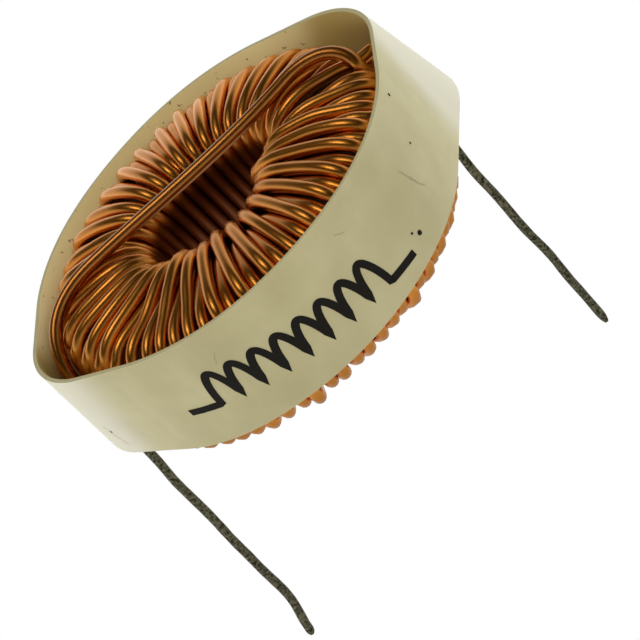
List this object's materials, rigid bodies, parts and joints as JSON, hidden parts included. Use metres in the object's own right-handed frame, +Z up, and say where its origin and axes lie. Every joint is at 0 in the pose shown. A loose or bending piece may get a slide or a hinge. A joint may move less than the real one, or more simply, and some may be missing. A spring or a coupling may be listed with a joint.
{
  "type": "toroidal inductor",
  "caption": "Ring-core inductor wound with enamelled copper wire, held in a cream sleeve band, with a tinned lead at each end for a circuit board.",
  "frame": {"origin": "on the ring's axis at the level where the winding rests on the board", "axes": "+Z up along the ring's axis away from the board, +X along the long way of the band toward the right lead, +Y across it"},
  "size_m": [0.0365, 0.0306, 0.0356],
  "materials": {
    "enamelled_copper": "glossy enamel over copper",
    "core_coat": "satin coat",
    "tinned_wire": "rough solder-dipped tin",
    "sleeve": "satin"
  },
  "bodies": {
    "root": {"core": "core_coat", "winding": "enamelled_copper", "lead_left": "tinned_wire", "lead_right": "tinned_wire", "sleeve_band": "sleeve"}
  },
  "joints": []
}
